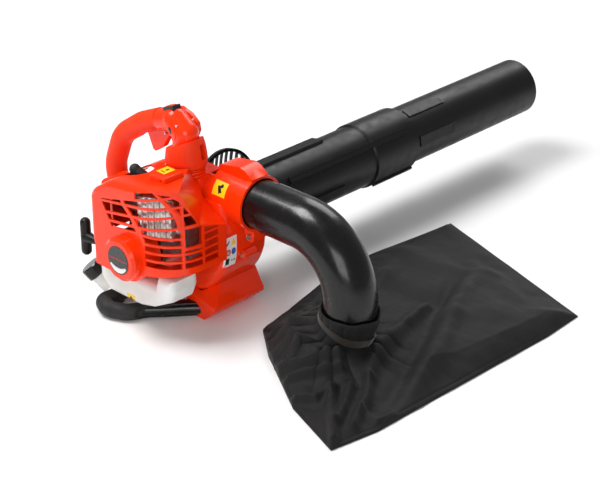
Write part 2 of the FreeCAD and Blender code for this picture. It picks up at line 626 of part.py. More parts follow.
def starter():
    """Starter housing with its badge disc, rewind spring, pulley, rope, guide and grip."""
    depth, wall = D.boss_depth, D.wall
    cup = turned("starter_cup", [
        (0, 1.2), (26, 1.2), (26, 0), (34.5, 0), ("boss_radius", 5), ("boss_radius", "boss_depth"),
        (D.boss_radius - wall, depth), (D.boss_radius - wall, 4.5), (5, 4.5), (5, 60), (0, 60)])
    slot = block("rope_slot", (-45, 48.5, -32), (-20, 57.5, -21))
    keep(cut("starter_made", cup, [slot]), "starter_housing")
    keep(rod("badge_disc", (0, -0.6, 0), "y", "Sizes.badge_radius", 1.7), "badge_disc")
    coils = [cut("coil_turn", rod("coil_outer", (0, 8, 0), "y", r + 1.2, 12),
                 [rod("coil_inner", (0, 7, 0), "y", r, 14)]) for r in (14, 17.5, 21, 24.5, 28)]
    bridge = block("coil_bridge", (14, 8, -0.6), (29, 20, 0.6))
    keep(fuse("spring_made", coils + [bridge]), "recoil_spring")
    keep(turned("starter_pulley", [
        (5.06, 24), (9, 24), (9, 46), (30, 46), (30, 48.5), (24, 51), (24, 55), (30, 57.5), (30, 60),
        (5.06, 60)]), "starter_pulley")
    guide = turned("rope_guide", [(2.6, 0), (10, 0), (10, 3.7), (6, 3.7), (6, 20), (2.6, 20)],
                   (-88, 53, -26.2), "x")
    keep(guide, "rope_guide")
    keep(rod("starter_rope", (-137, 53, -26.2), "x", 1.75, 137), "starter_rope")
    bar = rod("grip_bar", (-150, 53, -53), "z", 9.5, 54)
    ends = [ball("grip_end", (-150, 53, z), 9.5) for z in (-53, 1)]
    web = cone("grip_neck", (-147, 53, -26.2), "x", 11, 6, 26)
    hole = rod("grip_hole", (-137.5, 53, -26.2), "x", 1.8, 40)
    keep(cut("grip_made", fuse("grip_blank", [bar, web] + ends), [hole]), "starter_grip")


# ---------------------------------------------------------------- tank and feet
CAP_CENTRE = (-127, 46, -78)
CAP_AXIS = (-0.52, -0.40, 0.75)


def fuel_tank():
    """The translucent tank with its filler neck, cap, pick-up line and filter."""
    outline = [(-98, -47.5), (-97, -80), (-72, -100), (8, -100), (40, -92), (84, -68), (93, -46), (92, -26),
               (54, -26), (47, -47.5)]
    centre, along = Vector(*CAP_CENTRE), direction(CAP_AXIS)

    def form(inset):
        face = Part.Face(Part.makePolygon([Vector(x, 36 + inset, z) for x, z in outline + outline[:1]]))
        body = face.makeOffset2D(-inset) if inset else face
        body = feature("tank_body", body.extrude(Vector(0, 63 - 2 * inset, 0)))
        soft = rounded("tank_soft", body, 12 - inset, lambda edge: edge.BoundBox.YLength < 1)
        neck = rod("tank_neck", tuple(centre - along * 44), tuple(along), 15.8 - inset, 38 + inset)
        return fuse("tank_form", [soft, neck])

    line_hole = rod("line_hole", (-66, 84, -60), "z", 2.6, 20)
    keep(cut("tank_made", form(0), [form(2.4), line_hole]), "fuel_tank")
    cap_corners = [(0, -4.5), (16.1, -4.5), (16.1, -14), (19.5, -14), (19.5, 6), (17.5, 8), (0, 8)]
    cap = turned("cap_cup", cap_corners, CAP_CENTRE, CAP_AXIS)
    grooves = []
    for number in range(10):
        groove = block("cap_groove", (18.8, -1.6, -8), (22, 1.6, 9))
        turn = Placement(ORIGIN, Rotation(AXES["z"], number * 36))
        groove.Placement = aligned(CAP_CENTRE, CAP_AXIS) * turn * groove.Placement
        grooves.append(groove)
    keep(cut("cap_made", cap, grooves), "fuel_cap")
    route = rounded_path([(-66, 84, -78), (-66, 84, 10), (-64, 96, 43.2)], [30])
    keep(swept("fuel_line", route, 2.5), "fuel_line")
    keep(rod("fuel_filter", (-66, 84, -95.5), "z", 7, 17.5), "fuel_filter")


def case_tool():
    """The fan case's outer form, a hair larger, to trim what leans against it."""
    return feature("case_trim", volute(-0.2, D.fan_front - 0.3, D.fan_back + 0.3))


def lug_rooms():
    """Clearance round the lugs of the housing screws."""
    return [rod("lug_room", (x, D.fan_split - 20, z), "y", 8.4, 40) for x, z in screw_places()]


def feet():
    """The support foot under the fan case, and the lower handle with its soft grip."""
    floor = D.floor
    shoe = plate("shoe_block", [(14, floor), (58, floor), (84, -127), (84, -120), (58, -76), (46, -66),
                                (14, -66)], 140, 122)
    slant = feature("shoe_slant", half_space((0.215, -0.622, 0.752), -160.8))
    sole = rounded("shoe_round", cut("shoe_sloped", shoe, [slant]), 3,
                   lambda edge: edge.BoundBox.ZMin > -140 and edge.BoundBox.YMin < 200)
    pocket = block("shoe_pocket", (22, 150, floor - 5), (52, 254, floor + 14))
    level = floor + 15
    bend = [(46, 152, level), (23, 128, level), (0, 100, level), (-24, 74, level), (-40, 46, level),
            (-74, 32, level), (-102, 44, level), (-98, 84, level), (-92, 124, level), (-92, 180, -88)]
    route = rounded_path(bend, [40, 40, 34, 24, 24, 15, 24, 40])
    core = swept("aux_core", route, 11)
    rooms = [case_tool(), pocket, swept("aux_room", route, 11)] + lug_rooms()
    keep(cut("shoe_made", sole, rooms), "foot_shoe")
    flat = plate("aux_flat", [(44, 143), (25, 121), (6, 97), (-14, 76), (-23, 60), (-31, 72), (-24, 88),
                              (-6, 108), (12, 132), (28, 150)], floor + 2, 26, "z")
    soft = rounded("aux_flat_round", flat, 2, lambda edge: edge.BoundBox.ZLength < 0.1)
    foot_room = block("foot_room", (14, 139.8, floor - 5), (100, 300, 0))
    blade = cut("aux_blade", soft, [foot_room])
    keep(cut("aux_made", fuse("aux_blank", [core, blade]), [case_tool()] + lug_rooms()),
         "aux_handle_frame")
    part = rounded_path([(-27, 68.75, level)] + bend[4:7] + [(-98.3, 81, level)], [24, 24, 15])
    keep(cut("aux_grip_made", swept("aux_grip", part, 15, 11), [
        block("aux_grip_limit", (-22, 40, level - 20), (40, 100, level + 20)), blade]), "aux_grip_sleeve")


# ---------------------------------------------------------------- upper handle
def in_handle_plane(points):
    """Points in the plane of the handle from (x, z) pairs."""
    return [(x, D.handle_plane, z) for x, z in points]


HANDLE_ROUTE = [(-112, -24), (-168, 2), (-181, 74), (-156, 138), (-101, 176), (-40, 203)]
HEAD_FOOT, HEAD_TOP = (COLLAR_X, 188), (-17, 205)
PIVOT = (-30, 180)
SWITCH_AT, SWITCH_TILT = (-25, 226), -20


def switch_block(name, length, width, low, high):
    """A box in the tilted frame of the stop switch."""
    obj = block(name, (-length / 2, -width / 2, low), (length / 2, width / 2, high))
    x, z = SWITCH_AT
    frame = Placement(Vector(x, D.handle_plane, z), Rotation(AXES["y"], SWITCH_TILT))
    obj.Placement = frame * obj.Placement
    return obj


def handle_parts():
    """The two handle shells, soft grip, collar, pins, trigger, lever and stop switch."""
    plane, head = D.handle_plane, 23
    route = rounded_path(in_handle_plane(HANDLE_ROUTE), [34, 60, 70, 60])

    def head_form(inset):
        reach = Vector(HEAD_TOP[0] - HEAD_FOOT[0], 0, HEAD_TOP[1] - HEAD_FOOT[1])
        foot = (HEAD_FOOT[0], plane, HEAD_FOOT[1])
        return [rod("head_post", (HEAD_FOOT[0], plane, 134 + inset), "z", head - inset, 54 - inset),
                cone("head_lean", foot, tuple(reach), head - inset, 22.5 - inset, reach.Length),
                ball("head_foot_ball", foot, head - inset),
                cone("head_nape", (-60, plane, 194.6), (43, 0, 9.6), 18.9 - inset, 21.3 - inset, 42),
                ball("head_top_ball", (HEAD_TOP[0], plane, HEAD_TOP[1]), 22.5 - inset)]

    outer = fuse("handle_form", [swept("handle_core", route, D.handle_radius)] + head_form(0))
    inner = fuse("handle_hollow", [swept("handle_void", route, 12.5)] + head_form(4))
    trigger_room = block("trigger_room", (-104, plane - 6.6, 125), (-16, plane + 6.6, 200))
    pin_hole = rod("trigger_pin_hole", (PIVOT[0], plane - 40, PIVOT[1]), "y", 2.0, 80)
    screw_spots = [(4, 168), (6, 206), (-171, 96)]
    screw_holes = [rod("handle_screw_hole", (x, plane - 40, z), "y", 2.05, 80) for x, z in screw_spots]
    bezel_room = switch_block("bezel_room", 26.1, 18.1, -9, 20)
    lever_bore = rod("lever_bore", (-6, plane + 14, 186), "y", 4.06, 30)
    shell = cut("handle_shell", outer, [inner, case_tool(), trigger_room, pin_hole, bezel_room, lever_bore]
                + screw_holes)
    near = block("handle_near", (-400, plane - 100, -400), (400, plane, 400))
    far = block("handle_far", (-400, plane, -400), (400, plane + 100, 400))
    keep(common("handle_near_made", shell, near), "handle_shell_near")
    keep(common("handle_far_made", shell, far), "handle_shell_far")
    screws = []
    for (x, z), start, length in zip(screw_spots, (-20, -20, -12), (40, 40, 24)):
        shank = rod("handle_screw_shank", (x, plane + start, z), "y", 2.0, length)
        screws.append(shank)
    keep(DOC.addObject("Part::Compound", "handle_screw_group"), "handle_screws").Links = screws

    grip_spots = [(-175, 41), (-181, 74), (-156, 138), (-101, 176), (-52, 197.7)]
    grip_route = rounded_path(in_handle_plane(grip_spots), [60, 70, 60])
    keep(cut("grip_sleeve_made", swept("grip_skin", grip_route, D.grip_radius, D.handle_radius),
             [block("grip_trigger_room", (-104, plane - 6.6, 125), (-16, plane + 6.6, 185))] + head_form(0)),
         "grip_sleeve")
    collar = turned("collar_turned", [(head + 0.3, 133), (35, 133), ("collar_radius", 142), (34, 166),
                                      (28, 188), (head + 0.3, 190)], (HEAD_FOOT[0], plane, 0), "z")
    slot = block("collar_slot", (20, plane + 2, 147), (60, plane + 14, 174))
    slope = block("collar_slope", (-80, plane - 60, 0), (80, plane + 60, 60))
    slope.Placement = Placement(Vector(HEAD_FOOT[0], 0, 172), Rotation(AXES["y"], -24)) * slope.Placement
    keep(cut("collar_made", collar, [slot, slope]), "handle_collar")
    keep(rod("trigger_pin", (PIVOT[0], plane - 14, PIVOT[1]), "y", 1.98, 28), "trigger_pin")

    blade = plate("trigger_blade", [(-84, 165), (-71, 136), (-65, 134), (-43, 149), (-37, 160), (-24, 178),
                                    (-26, 186), (-46, 184)], plane - 6, 12)
    edge_soft = rounded("trigger_soft", blade, 1.6, lambda edge: edge.BoundBox.YLength < 0.1)
    bore = rod("trigger_bore", (PIVOT[0], plane - 10, PIVOT[1]), "y", 2.06, 20)
    keep(cut("trigger_made", edge_soft, [bore]), "throttle_trigger")

    lever = plate("lever_blade", [(-54, 206), (-46, 214), (-30, 218), (-6, 212), (10, 200), (13, 186),
                                  (8, 174), (-8, 172), (-52, 198)], plane + 24.5, 9)
    lever_soft = rounded("lever_soft", lever, 2.5, lambda edge: edge.BoundBox.YLength < 0.1
                         and edge.BoundBox.YMin > plane + 25)
    shaft = rod("lever_shaft", (-6, plane + 16, 186), "y", 4, 12)
    keep(fuse("lever_made", [lever_soft, shaft]), "cruise_lever")

    bezel = switch_block("bezel_block", 26, 18, -8, 3)
    window = switch_block("bezel_window", 19.4, 11.4, -20, 20)
    keep(cut("bezel_made", bezel, [window]), "switch_bezel")
    rocker = rounded("rocker_soft", switch_block("rocker_block", 17.4, 10.6, -4, 4.5), 1.2,
                     lambda edge: True)
    tilt = Placement(Vector(SWITCH_AT[0], plane, SWITCH_AT[1]), Rotation(AXES["y"], SWITCH_TILT))
    barrel = rod("rocker_barrel", tuple(tilt * Vector(0, -5.3, -5)), "y", 2.6, 10.6)
    keep(fuse("rocker_made", [rocker, barrel]), "stop_switch")


# ---------------------------------------------------------------- tubes, elbow and bag
def intake_guard():
    """The round grille that closes the inlet when no tube is fitted, swung open on its pin."""
    hinge_x, hinge_y = GUARD_HINGE
    radius, reach = 72, 96
    x, y = hinge_x - 14, hinge_y + reach
    rim = cut("guard_rim", rod("rim_outer", (x - 4, y, 0), "x", radius, 8),
              [rod("rim_inner", (x - 9, y, 0), "x", radius - 6, 18)])
    bars = [block("guard_bar", (x - 20, y + step - 1.4, -radius), (x + 6, y + step + 1.4, radius))
            for step in range(-60, 61, 12)]
    tie = block("guard_tie", (x - 20, y - radius, -2), (x + 6, y + radius, 2))
    dome = cut("guard_dome", ball("dome_outer", (x + 148, y, 0), 164),
               [ball("dome_inner", (x + 148, y, 0), 159)])
    grille = common("guard_grille", common("bars_in_dome", fuse("bars", bars + [tie]), dome),
                    rod("guard_limit", (x - 40, y, 0), "x", radius - 2, 60))
    barrel = rod("guard_barrel", (hinge_x, hinge_y, -29.5), "z", 6, 59)
    arm = plate("guard_arm", [(hinge_x - 4, hinge_y), (hinge_x + 4, hinge_y), (x + 3, hinge_y + 23),
                              (x + 3, hinge_y + 29), (x - 3, hinge_y + 29)], -12, 24, "z")
    bore = rod("guard_bore", (hinge_x, hinge_y, -40), "z", 3.06, 80)
    guard = cut("guard_made", fuse("guard_blank", [rim, grille, barrel, arm]), [bore])
    keep(guard, "intake_guard")
    pin = keep(rod("guard_hinge_pin", (hinge_x, hinge_y, -40.5), "z", 3, 81), "guard_hinge_pin")
    guard.Placement = GUARD_TILT
    pin.Placement = GUARD_TILT * pin.Placement


def suction_tubes():
    """The upper tube with its inlet collar and its sleeve, and the lower tube that fits inside."""
    outer, bore = D.upper_tube_radius, D.lower_tube_radius + 0.2
    upper = turned("upper_turned", [
        (64.3, 258), (67.5, 258), (67.5, 276), ("upper_tube_radius", 284),
        ("upper_tube_radius", "sleeve_start"), ("sleeve_radius", 591), ("sleeve_radius", "sleeve_end"),
        (bore, D.sleeve_end), (bore, 276), (64.3, 273)])
    rails = []
    channel = D.sleeve_radius + 1.5
    sizes = [(100, 296, 500, outer + 4, 28), (40, 366, 684, channel, 12), (220, 366, 684, channel, 12),
             (-18, 320, 500, outer + 2, 20), (-44, 594, 702, D.sleeve_radius + 4, 8)]
    for angle, start, end, reach, width in sizes:
        rail = block("tube_rail", (bore + 1, start, -width / 2), (reach, end, width / 2))
        rail.Placement = Placement(ORIGIN, Rotation(AXES["y"], -angle)) * rail.Placement
        rails.append(rail)
    keep(cut("upper_made", fuse("upper_blank", [upper] + rails),
             [rod("upper_bore", (0, 276, 0), "y", bore, 500)]), "suction_tube_upper")
    inner = D.lower_tube_radius - D.lower_tube_wall
    lower = turned("lower_turned", [
        (inner, "lower_tube_start"), ("lower_tube_radius", "lower_tube_start"),
        ("lower_tube_radius", "lower_tube_end"), (inner, "lower_tube_end")])
    pads = []
    for angle in (8, 72, 200):
        pad = block("bayonet_pad", (inner + 1, 718, -10), (D.lower_tube_radius + 1.8, 820, 10))
        pad.Placement = Placement(ORIGIN, Rotation(AXES["y"], -angle)) * pad.Placement
        pads.append(pad)
    keep(cut("lower_made", fuse("lower_blank", [lower] + pads),
             [rod("lower_bore", (0, 640, 0), "y", inner, 500)]), "suction_tube_lower")


ELBOW_START = 236


def elbow_point(turn, radius=None):
    """A point at an angle round the elbow's bend, measured from its top."""
    radius = D.elbow_bend if radius is None else radius
    angle = math.radians(turn)
    return Vector(ELBOW_START + radius * math.sin(angle), D.fan_split,
                  D.duct_height - D.elbow_bend + radius * math.cos(angle))


def bend_path(first, last, run_in=0):
    """The elbow's centre line between two angles, with a straight run before it."""
    arc = Part.Arc(elbow_point(first), elbow_point((first + last) / 2), elbow_point(last)).toShape()
    if not run_in:
        return Part.Wire([arc])
    start = Vector(ELBOW_START - run_in, D.fan_split, D.duct_height)
    return Part.Wire([Part.LineSegment(start, elbow_point(first)).toShape(), arc])


def elbow_and_bag():
    """The glossy elbow, the bag that lies on the floor, and the strap round its neck."""
    outer, wall, split, height = D.elbow_radius, D.elbow_wall, D.fan_split, D.duct_height
    bend = swept("elbow_bend", bend_path(0, D.elbow_turn, 70), outer + 2)
    cuff = rod("elbow_cuff", (110, split, height), "x", "Sizes.elbow_radius", 60)
    void = swept("elbow_void", bend_path(0, D.elbow_turn, 62), outer + 2 - wall)
    cuff_void = rod("cuff_void", (100, split, height), "x", outer - wall, 80)
    keep(cut("elbow_made", fuse("elbow_blank", [bend, cuff]), [void, cuff_void]), "elbow_tube")

    floor, thick = D.floor, 30
    outline = [(518, 83), (501, -7), (374, 38), (228, 127), (161, 181), (114, 380), (103, 527), (129, 733),
               (525, 607), (530, 512)]
    sack = plate("bag_sack", outline, floor, thick, "z")
    end = elbow_point(D.elbow_turn)
    heading = elbow_point(D.elbow_turn + 90, 1) - elbow_point(D.elbow_turn + 270, 1)
    throat = rod("bag_throat", tuple(end), tuple(heading), outer + 6, 46)
    neck = swept("bag_neck", bend_path(99, D.elbow_turn), outer + 6)
    above = block("above_floor", (-400, -400, floor), (900, 900, 400))
    solid = common("bag_solid", fuse("bag_blank", [sack, throat, neck]), above)
    hollow = [swept("bag_neck_void", bend_path(90, D.elbow_turn), outer + 2.3),
              rod("bag_throat_void", tuple(end - heading * 0.1), tuple(heading), outer + 2.3, 24)]
    keep(cut("bag_made", solid, hollow), "bag")
    keep(swept("strap_band", bend_path(109, 116), outer + 7.4, outer + 6), "bag_strap")


# ---------------------------------------------------------------- assembly
def set_on_floor():
    """Moves every sub-part so that the bottom centre of the whole box is the origin."""
    box = FreeCAD.BoundBox()
    for part in PARTS:
        box.add(part.Shape.optimalBoundingBox(False, False))
    shift = Vector(-box.Center.x, -box.Center.y, -box.ZMin)
    for part in PARTS:
        part.Placement = Placement(shift, Rotation()) * part.Placement
    print("size", round(box.XLength, 3), round(box.YLength, 3), round(box.ZLength, 3))
    print("crank axis at", round(shift.x, 4), round(shift.y, 4), round(shift.z, 4))


def check():
    """Stops if an object failed or a sub-part is not a valid solid."""
    failed = [obj.Name for obj in DOC.Objects if "Invalid" in obj.State or "Error" in obj.State]
    if failed:
        raise RuntimeError(f"these objects failed: {failed}")
    empty = [part.Label for part in PARTS
             if part.Shape.isNull() or not part.Shape.isValid() or not part.Shape.Solids]
    if empty:
        raise RuntimeError(f"these sub-parts have no valid shape: {empty}")


fan_housing()
housing_screws()
clamp_screw()
impeller()
crank_train()
crankcase()
cylinder_parts()
ignition_and_exhaust()
intake_parts()
engine_cover()
starter()
fuel_tank()
feet()
handle_parts()
intake_guard()
suction_tubes()
elbow_and_bag()
DOC.recompute()
check()
set_on_floor()
DOC.recompute()
check()
os.makedirs("parts", exist_ok=True)
for part in PARTS:
    part.Shape.exportStep(f"parts/{part.Label}.step")
    print(f"{part.Label:22s} solids {len(part.Shape.Solids)}  volume {part.Shape.Volume / 1000:8.2f} cm3")
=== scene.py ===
"""Looks of the hand-held blower-vacuum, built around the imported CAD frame.

Places on the machine are in millimetres from the centre of its starter boss, until at() turns them into
the frame's metres.
"""
import json
import math

import bmesh
import bpy
from mathutils import Euler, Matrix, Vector, noise
from mathutils.bvhtree import BVHTree


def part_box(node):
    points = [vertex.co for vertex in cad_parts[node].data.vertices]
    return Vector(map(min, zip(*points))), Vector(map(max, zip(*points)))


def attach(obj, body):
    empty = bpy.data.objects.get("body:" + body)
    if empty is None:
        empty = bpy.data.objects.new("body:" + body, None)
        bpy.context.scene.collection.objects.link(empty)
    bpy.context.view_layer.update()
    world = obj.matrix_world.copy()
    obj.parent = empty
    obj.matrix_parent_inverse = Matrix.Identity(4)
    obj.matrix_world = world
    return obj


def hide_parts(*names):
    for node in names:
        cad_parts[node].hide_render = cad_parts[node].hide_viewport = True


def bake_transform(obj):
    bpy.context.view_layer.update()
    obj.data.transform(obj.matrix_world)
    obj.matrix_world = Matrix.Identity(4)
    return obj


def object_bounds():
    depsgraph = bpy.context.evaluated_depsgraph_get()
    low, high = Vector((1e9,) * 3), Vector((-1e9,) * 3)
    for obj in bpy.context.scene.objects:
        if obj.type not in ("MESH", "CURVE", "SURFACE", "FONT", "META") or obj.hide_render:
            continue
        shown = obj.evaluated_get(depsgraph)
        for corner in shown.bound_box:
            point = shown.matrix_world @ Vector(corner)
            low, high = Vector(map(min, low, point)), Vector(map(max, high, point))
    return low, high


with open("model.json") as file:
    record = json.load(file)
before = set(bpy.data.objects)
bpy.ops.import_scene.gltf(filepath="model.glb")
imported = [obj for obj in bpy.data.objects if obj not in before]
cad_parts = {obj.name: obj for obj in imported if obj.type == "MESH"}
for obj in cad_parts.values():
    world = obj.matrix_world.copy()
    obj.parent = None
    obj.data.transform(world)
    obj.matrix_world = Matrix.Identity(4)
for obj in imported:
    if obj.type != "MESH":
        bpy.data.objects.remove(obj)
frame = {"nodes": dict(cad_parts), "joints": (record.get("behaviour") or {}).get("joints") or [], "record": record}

CAD_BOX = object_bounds()
NODES = frame["nodes"]
JOINTS = {joint["name"]: joint for joint in frame["joints"]}
MM = 0.001

# The machine's own origin: the centre of the starter boss, on the crank axis.
CRANK = Vector(JOINTS["crank_spin"]["pos_m"])
BOSS = Vector((CRANK.x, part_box("starter_housing")[0][1], CRANK.z))
FLOOR = CAD_BOX[0][2]


def at(x, y, z):
    """A point given in millimetres from the machine's own origin."""
    return BOSS + Vector((x, y, z)) * MM


# ---------------------------------------------------------------- camera, light and floor
CAMERA_AZIMUTH, CAMERA_ELEVATION = 44.03, 27.05
CAMERA_AT = at(2067, -1696, 1395)
CAMERA_LENS, CAMERA_SENSOR = 106.5, 36
FLOOR_REACH = 14
WORLD_STRENGTH = 0.3
# Area lights: name, place, target, side and power.
LIGHTS = [("key", (-1.2, -1.3, 3.0), (0.1, -0.2, 0.1), 1.4, 96),
          ("fill", (1.9, -2.6, 1.4), (0.1, -0.1, 0.1), 1.6, 34),
          ("back", (-1.2, 2.4, 2.6), (0, 0.2, 0.1), 2.0, 52)]


def set_stage():
    """The camera at the photograph's angle, a pale floor and soft studio light."""
    camera = bpy.data.cameras.new("camera")
    camera.lens, camera.sensor_width = CAMERA_LENS, CAMERA_SENSOR
    camera.clip_end = 50
    holder = bpy.data.objects.new("camera", camera)
    holder.location = CAMERA_AT
    holder.rotation_euler = Euler((math.radians(90 - CAMERA_ELEVATION), 0, math.radians(CAMERA_AZIMUTH)))
    bpy.context.scene.collection.objects.link(holder)
    bpy.context.scene.camera = holder

    mesh = bpy.data.meshes.new("floor")
    corners = [(u * FLOOR_REACH, v * FLOOR_REACH, FLOOR) for u, v in ((-1, -1), (1, -1), (1, 1), (-1, 1))]
    mesh.from_pydata(corners, [], [(0, 1, 2, 3)])
    floor = bpy.data.objects.new("floor", mesh)
    bpy.context.scene.collection.objects.link(floor)
    floor.data.materials.append(plain("floor_paper", (0.90, 0.90, 0.90), 0.75))

    world = bpy.data.worlds.new("studio")
    world.use_nodes = True
    world.node_tree.nodes["Background"].inputs["Color"].default_value = (1, 1, 1, 1)
    world.node_tree.nodes["Background"].inputs["Strength"].default_value = WORLD_STRENGTH
    bpy.context.scene.world = world
    for light in LIGHTS:
        add_light(*light)
    bpy.context.scene.view_settings.view_transform = "Standard"


def add_light(name, place, target, side, watts):
    """A square soft light aimed at a point."""
    light = bpy.data.lights.new(name, "AREA")
    light.size, light.energy = side, watts
    holder = bpy.data.objects.new(name, light)
    holder.location = place
    holder.rotation_euler = (Vector(target) - Vector(place)).to_track_quat("-Z", "Y").to_euler()
    bpy.context.scene.collection.objects.link(holder)


# ---------------------------------------------------------------- materials
def plain(name, colour, roughness):
    """A bare material, for the stage."""
    material = bpy.data.materials.new(name)
    material.use_nodes = True
    shader = material.node_tree.nodes["Principled BSDF"]
    shader.inputs["Base Color"].default_value = (*colour, 1)
    shader.inputs["Roughness"].default_value = roughness
    return material


class Recipe:
    """Small helper for node materials: one Principled shader and the nodes that feed it."""

    def __init__(self, name, **settings):
        self.material = bpy.data.materials.new(name)
        self.material.use_nodes = True
        self.tree = self.material.node_tree
        self.shader = self.tree.nodes["Principled BSDF"]
        for socket, value in settings.items():
            self.shader.inputs[socket.replace("_", " ")].default_value = value
        self.place = self.add("ShaderNodeTexCoord").outputs["Object"]

    def add(self, kind, inputs=None, **attributes):
        """A node with its attributes set and its inputs linked or set."""
        node = self.tree.nodes.new(kind)
        for key, value in attributes.items():
            setattr(node, key, value)
        for key, value in (inputs or {}).items():
            if isinstance(value, bpy.types.NodeSocket):
                self.tree.links.new(value, node.inputs[key])
            else:
                node.inputs[key].default_value = value
        return node

    def feed(self, socket, value):
        """Links an output to the shader."""
        self.tree.links.new(value, self.shader.inputs[socket])

    def grain(self, scale, detail, roughness=0.5, place=None):
        """Noise in object space; scale is in waves per metre."""
        return self.add("ShaderNodeTexNoise", {"Vector": place or self.place, "Scale": scale,
                                               "Detail": detail, "Roughness": roughness}).outputs["Fac"]

    def spread(self, value, low, high, first=0.0, last=1.0):
        """Maps a value's range onto another."""
        return self.add("ShaderNodeMapRange", {"Value": value, "From Min": first, "From Max": last,
                                               "To Min": low, "To Max": high}).outputs["Result"]

    def blend(self, factor, first, second):
        """Mixes two colours."""
        node = self.add("ShaderNodeMix", {0: factor}, data_type="RGBA")
        for number, colour in ((6, first), (7, second)):
            if isinstance(colour, bpy.types.NodeSocket):
                self.tree.links.new(colour, node.inputs[number])
            else:
                node.inputs[number].default_value = (*colour, 1)
        return node.outputs[2]

    def math(self, operation, first, second=0.0):
        """One math node."""
        return self.add("ShaderNodeMath", {0: first, 1: second}, operation=operation).outputs[0]

    def bump(self, height, depth, strength):
        """A bump of a given depth in metres, fed to the shader."""
        node = self.add("ShaderNodeBump", {"Height": height, "Distance": depth, "Strength": strength})
        self.feed("Normal", node.outputs["Normal"])


def moulded(name, colour, roughness, grain_size=0.0006, grain_depth=0.00002, shade=0.1,
            coat=0.0, gloss=0.5):
    """Moulded plastic: faint grain, uneven gloss and a slow drift of shade."""
    recipe = Recipe(name, Coat_Weight=coat, Coat_Roughness=0.08, IOR=1.48, Specular_IOR_Level=gloss)
    drift = recipe.grain(9, 2)
    dark = tuple(channel * (1 - shade) for channel in colour)
    fine = recipe.grain(1 / grain_size, 2)
    tone = recipe.math("ADD", recipe.spread(drift, 0.0, 0.75, 0.3, 0.7),
                       recipe.spread(fine, 0, 0.25, 0.3, 0.7))
    recipe.feed("Base Color", recipe.blend(tone, dark, colour))
    scuffs = recipe.grain(60, 5, 0.65)
    recipe.feed("Roughness", recipe.spread(scuffs, roughness * 0.8, roughness * 1.25, 0.35, 0.7))
    recipe.bump(fine, grain_depth, 0.8)
    return recipe.material


def metal(name, colour, roughness, streak=(1, 1, 1), stain=None):
    """Worn metal with brushed streaks and darker stains."""
    recipe = Recipe(name, Metallic=1.0)
    mapped = recipe.add("ShaderNodeMapping", {"Vector": recipe.place, "Scale": streak}).outputs["Vector"]
    lines = recipe.grain(700, 3, 0.6, mapped)
    cloud = recipe.grain(45, 4, 0.6)
    stained = recipe.blend(recipe.spread(cloud, 0, 1, 0.45, 0.7), colour, stain or colour)
    dark = recipe.blend(recipe.spread(lines, 0, 0.25), stained, (0.1, 0.1, 0.1))
    recipe.feed("Base Color", dark)
    recipe.feed("Roughness", recipe.spread(lines, roughness * 0.7, roughness * 1.4))
    recipe.bump(lines, 0.00003, 0.5)
    return recipe.material


def woven(name, colour, thread=0.0009, sheen=0.25, gloss=0.62):
    """Plain-woven nylon: crossing threads, fibre fuzz and a slight sheen."""
    recipe = Recipe(name, Sheen_Weight=sheen, Sheen_Roughness=0.45, IOR=1.42, Specular_IOR_Level=0.3)
    apart = recipe.add("ShaderNodeSeparateXYZ", {"Vector": recipe.place})
    turn = 2 * math.pi / thread
    warp = recipe.math("SINE", recipe.math("MULTIPLY", apart.outputs["X"], turn))
    weft = recipe.math("SINE", recipe.math("MULTIPLY", apart.outputs["Y"], turn))
    weave = recipe.math("MULTIPLY", warp, weft)
    fuzz = recipe.grain(2600, 2)
    cloud = recipe.grain(14, 4, 0.6)
    tone = recipe.math("ADD", recipe.spread(weave, 0.0, 0.35, -1, 1), recipe.spread(cloud, 0, 0.65, 0.3, 0.7))
    pale = tuple(channel * 1.7 + 0.002 for channel in colour)
    recipe.feed("Base Color", recipe.blend(tone, colour, pale))
    recipe.feed("Roughness", recipe.spread(fuzz, gloss * 0.85, gloss * 1.15))
    height = recipe.math("ADD", weave, recipe.math("MULTIPLY", fuzz, 0.6))
    recipe.bump(height, 0.00012, 0.55)
    return recipe.material


def milky(name):
    """Natural polyethylene: waxy, translucent, warmer where it is thick."""
    recipe = Recipe(name, Subsurface_Weight=0.35, Subsurface_Scale=0.02, IOR=1.5)
    recipe.shader.inputs["Subsurface Radius"].default_value = (1.0, 0.9, 0.7)
    cloud = recipe.grain(16, 3)
    recipe.feed("Base Color", recipe.blend(recipe.spread(cloud, 0, 1, 0.3, 0.7), (0.80, 0.78, 0.70),
                                           (0.93, 0.92, 0.88)))
    fine = recipe.grain(900, 2)
    recipe.feed("Roughness", recipe.spread(fine, 0.32, 0.5))
    recipe.bump(fine, 0.00003, 0.6)
    return recipe.material


def printed(name, colour, roughness=0.35):
    """Printed film: nearly even colour."""
    return moulded(name, colour, roughness, 0.0008, 0.000005, 0.04)


